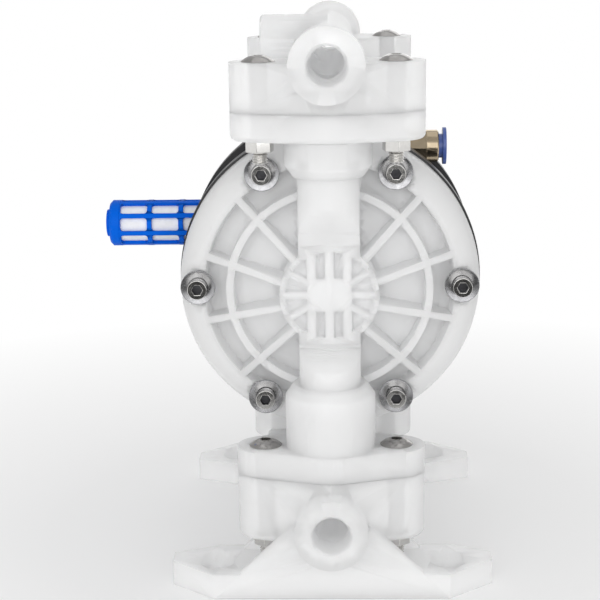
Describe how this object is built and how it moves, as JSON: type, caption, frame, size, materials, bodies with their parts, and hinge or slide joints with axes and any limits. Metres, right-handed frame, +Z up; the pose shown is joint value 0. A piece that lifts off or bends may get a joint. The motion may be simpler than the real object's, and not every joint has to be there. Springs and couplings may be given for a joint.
{
  "type": "air operated diaphragm pump",
  "caption": "Double diaphragm pump in natural plastic with ribbed round chambers, flanged ball valve columns, threaded manifolds, feet and an exhaust muffler",
  "frame": {"origin": "On the floor, at the middle of the four foot holes, below the middle of the pump", "axes": "+X right across the pump to the air inlet, +Y along the shaft from the front to the rear, +Z up the valve columns"},
  "size_m": [0.2048, 0.235, 0.2888],
  "materials": {
    "natural_plastic": "moulded natural polypropylene, slightly cloudy",
    "black_plastic": "moulded black polypropylene",
    "muffler_plastic": "blue moulded plastic",
    "porous_white": "porous sintered polyethylene",
    "steel_screw": "stainless steel",
    "shaft_steel": "ground stainless steel",
    "plated_brass": "nickel plated brass",
    "collar_plastic": "blue moulded acetal",
    "rubber_seal": "nitrile rubber",
    "white_ptfe": "smooth white PTFE",
    "aluminium_part": "turned aluminium",
    "plate_plastic": "moulded polypropylene",
    "bush_plastic": "moulded acetal"
  },
  "bodies": {
    "casing": {"centre_block": "black_plastic", "disc_screws": "steel_screw", "front_air_disc": "black_plastic", "front_body_gasket": "rubber_seal", "front_chamber": "natural_plastic", "front_chamber_nuts": "steel_screw", "front_chamber_screws": "steel_screw", "front_chamber_washers": "steel_screw", "front_inlet_cage": "natural_plastic", "front_inlet_seat": "natural_plastic", "front_outlet_cage": "natural_plastic", "front_outlet_seat": "natural_plastic", "grip_ring": "steel_screw", "inlet_fitting": "plated_brass", "inlet_manifold": "natural_plastic", "inlet_nuts": "steel_screw", "inlet_screws": "steel_screw", "inlet_seat_seals": "white_ptfe", "left_valve_plug": "aluminium_part", "muffler_cage": "muffler_plastic", "muffler_cap": "muffler_plastic", "muffler_element": "porous_white", "outlet_joint_seals": "white_ptfe", "outlet_manifold": "natural_plastic", "outlet_nuts": "steel_screw", "outlet_screws": "steel_screw", "outlet_seat_seals": "white_ptfe", "pilot_bushes": "bush_plastic", "rear_air_disc": "black_plastic", "rear_body_gasket": "rubber_seal", "rear_chamber": "natural_plastic", "rear_chamber_nuts": "steel_screw", "rear_chamber_screws": "steel_screw", "rear_chamber_washers": "steel_screw", "rear_inlet_cage": "natural_plastic", "rear_inlet_seat": "natural_plastic", "rear_outlet_cage": "natural_plastic", "rear_outlet_seat": "natural_plastic", "right_valve_plug": "aluminium_part", "shaft_bushes": "bush_plastic", "shaft_seals": "rubber_seal", "tube_seal": "rubber_seal", "valve_sleeve": "aluminium_part"},
    "shaft": {"main_shaft": "shaft_steel", "front_inner_plate": "aluminium_part", "front_outer_plate": "plate_plastic", "front_diaphragm": "white_ptfe", "rear_inner_plate": "aluminium_part", "rear_outer_plate": "plate_plastic", "rear_diaphragm": "white_ptfe"},
    "pilot": {"pilot_rod": "shaft_steel"},
    "spool": {"valve_spool": "aluminium_part", "spool_rings": "rubber_seal"},
    "collar": {"release_collar": "collar_plastic"},
    "front_inlet_ball": {"front_inlet_ball": "white_ptfe"},
    "front_outlet_ball": {"front_outlet_ball": "white_ptfe"},
    "rear_inlet_ball": {"rear_inlet_ball": "white_ptfe"},
    "rear_outlet_ball": {"rear_outlet_ball": "white_ptfe"}
  },
  "joints": [
    {"name": "shaft_slide", "type": "slide", "parent": "casing", "child": "shaft", "axis": [0, 1, 0], "range_m": [-0.006, 0.006], "deforming": ["front_diaphragm", "rear_diaphragm"]},
    {"name": "pilot_slide", "type": "slide", "parent": "casing", "child": "pilot", "axis": [0, 1, 0], "range_m": [-0.003, 0.003]},
    {"name": "spool_slide", "type": "slide", "parent": "casing", "child": "spool", "axis": [1, 0, 0], "range_m": [-0.004, 0.004]},
    {"name": "collar_press", "type": "slide", "parent": "casing", "child": "collar", "axis": [-1, 0, 0], "range_m": [0, 0.0012], "stiffness_N_per_m": 400},
    {"name": "front_inlet_ball_lift", "type": "slide", "parent": "casing", "child": "front_inlet_ball", "axis": [0, 0, 1], "range_m": [0, 0.0044]},
    {"name": "front_outlet_ball_lift", "type": "slide", "parent": "casing", "child": "front_outlet_ball", "axis": [0, 0, 1], "range_m": [0, 0.0044]},
    {"name": "rear_inlet_ball_lift", "type": "slide", "parent": "casing", "child": "rear_inlet_ball", "axis": [0, 0, 1], "range_m": [0, 0.0044]},
    {"name": "rear_outlet_ball_lift", "type": "slide", "parent": "casing", "child": "rear_outlet_ball", "axis": [0, 0, 1], "range_m": [0, 0.0044]}
  ],
  "couplings": [
    {"joint": "pilot_slide", "follows": "shaft_slide", "ratio": 0.5}
  ]
}
